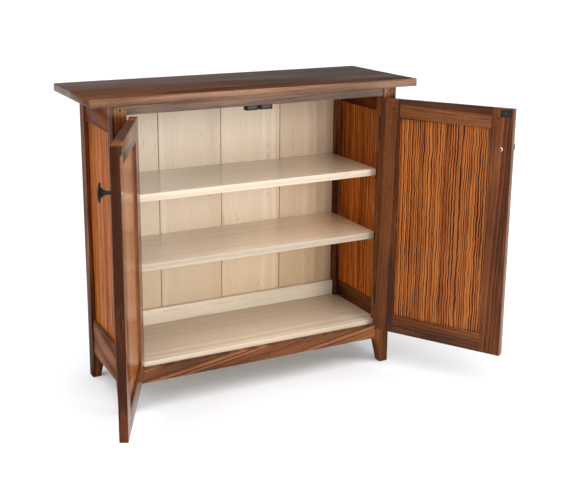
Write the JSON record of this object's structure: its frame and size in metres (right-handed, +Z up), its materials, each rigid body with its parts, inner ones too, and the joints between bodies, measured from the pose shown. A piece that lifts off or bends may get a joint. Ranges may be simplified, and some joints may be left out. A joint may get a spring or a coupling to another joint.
{
  "type": "side cabinet",
  "caption": "Free-standing walnut side cabinet on tapered feet, with hinged frame and panel doors, striped panels, and a maple interior with shelves on pins.",
  "frame": {"origin": "on the floor, in the middle of the case's footprint, between the four feet", "axes": "+X along the width to the right, +Y from the front to the back, +Z up"},
  "size_m": [1.0946, 0.6517, 0.808],
  "materials": {
    "back_board_1": "maple, clear satin lacquer",
    "back_board_2": "maple, clear satin lacquer",
    "back_board_3": "maple, clear satin lacquer",
    "back_board_4": "maple, clear satin lacquer",
    "back_bottom_rail": "walnut, oiled satin",
    "back_maple_rail": "maple, clear satin lacquer",
    "back_top_rail": "walnut, oiled satin",
    "black_hinge": "blackened steel, satin",
    "black_knob": "blackened metal, satin",
    "black_screw": "blackened steel, satin",
    "bottom_panel": "maple, clear satin lacquer",
    "bright_screw": "zinc plated steel",
    "catch_body": "black plastic",
    "catch_magnet": "plated steel and magnet",
    "door_left_bottom_rail": "walnut, oiled satin",
    "door_left_free_stile": "walnut, oiled satin",
    "door_left_hinge_stile": "walnut, oiled satin",
    "door_left_panel": "striped hardwood panel, oiled",
    "door_left_top_rail": "walnut, oiled satin",
    "door_right_bottom_rail": "walnut, oiled satin",
    "door_right_free_stile": "walnut, oiled satin",
    "door_right_hinge_stile": "walnut, oiled satin",
    "door_right_panel": "striped hardwood panel, oiled",
    "door_right_top_rail": "walnut, oiled satin",
    "front_bottom_rail": "walnut, oiled satin",
    "front_top_rail": "walnut, oiled satin",
    "leg_front_left": "walnut, oiled satin",
    "leg_front_right": "walnut, oiled satin",
    "leg_rear_left": "walnut, oiled satin",
    "leg_rear_right": "walnut, oiled satin",
    "peg": "dark hardwood end grain, oiled",
    "shelf_lower": "maple, clear satin lacquer",
    "shelf_pin": "plated steel",
    "shelf_upper": "maple, clear satin lacquer",
    "side_bottom_rail_left": "walnut, oiled satin",
    "side_bottom_rail_right": "walnut, oiled satin",
    "side_panel_left": "striped hardwood panel, oiled",
    "side_panel_right": "striped hardwood panel, oiled",
    "side_top_rail_left": "walnut, oiled satin",
    "side_top_rail_right": "walnut, oiled satin",
    "strike_plate": "darkened steel",
    "strike_screw": "darkened steel",
    "top": "walnut, oiled satin",
    "top_buttons": "maple, clear satin lacquer"
  },
  "bodies": {
    "case": {"back_board_1": "back_board_1", "back_board_2": "back_board_2", "back_board_3": "back_board_3", "back_board_4": "back_board_4", "back_bottom_rail": "back_bottom_rail", "back_maple_rail": "back_maple_rail", "back_screws": "bright_screw", "back_top_rail": "back_top_rail", "bottom_panel": "bottom_panel", "button_screws": "bright_screw", "case_hinge_leaves_left": "black_hinge", "case_hinge_leaves_right": "black_hinge", "case_hinge_screws": "black_screw", "catch_body_left": "catch_body", "catch_body_right": "catch_body", "catch_magnets": "catch_magnet", "catch_screws": "bright_screw", "front_bottom_rail": "front_bottom_rail", "front_top_rail": "front_top_rail", "hinge_pins": "black_hinge", "leg_front_left": "leg_front_left", "leg_front_right": "leg_front_right", "leg_rear_left": "leg_rear_left", "leg_rear_right": "leg_rear_right", "rail_pegs": "peg", "shelf_lower": "shelf_lower", "shelf_pins": "shelf_pin", "shelf_upper": "shelf_upper", "side_bottom_rail_left": "side_bottom_rail_left", "side_bottom_rail_right": "side_bottom_rail_right", "side_panel_left": "side_panel_left", "side_panel_right": "side_panel_right", "side_top_rail_left": "side_top_rail_left", "side_top_rail_right": "side_top_rail_right", "top": "top", "top_buttons": "top_buttons"},
    "door_left": {"door_left_bottom_rail": "door_left_bottom_rail", "door_left_free_stile": "door_left_free_stile", "door_left_hinge_leaves": "black_hinge", "door_left_hinge_screws": "black_screw", "door_left_hinge_stile": "door_left_hinge_stile", "door_left_knob": "black_knob", "door_left_knob_screw": "bright_screw", "door_left_panel": "door_left_panel", "door_left_pegs": "peg", "door_left_strike_plate": "strike_plate", "door_left_strike_screw": "strike_screw", "door_left_top_rail": "door_left_top_rail"},
    "door_right": {"door_right_bottom_rail": "door_right_bottom_rail", "door_right_free_stile": "door_right_free_stile", "door_right_hinge_leaves": "black_hinge", "door_right_hinge_screws": "black_screw", "door_right_hinge_stile": "door_right_hinge_stile", "door_right_knob": "black_knob", "door_right_knob_screw": "bright_screw", "door_right_panel": "door_right_panel", "door_right_pegs": "peg", "door_right_strike_plate": "strike_plate", "door_right_strike_screw": "strike_screw", "door_right_top_rail": "door_right_top_rail"}
  },
  "joints": [
    {"name": "left_door_hinge", "type": "hinge", "parent": "case", "child": "door_left", "pos_m": [-0.359, -0.1414, 0.4375], "axis": [0, 0, -1], "range_deg": [-115, 60]},
    {"name": "right_door_hinge", "type": "hinge", "parent": "case", "child": "door_right", "pos_m": [0.359, -0.1414, 0.4375], "axis": [0, 0, 1], "range_deg": [-122, 53]}
  ]
}
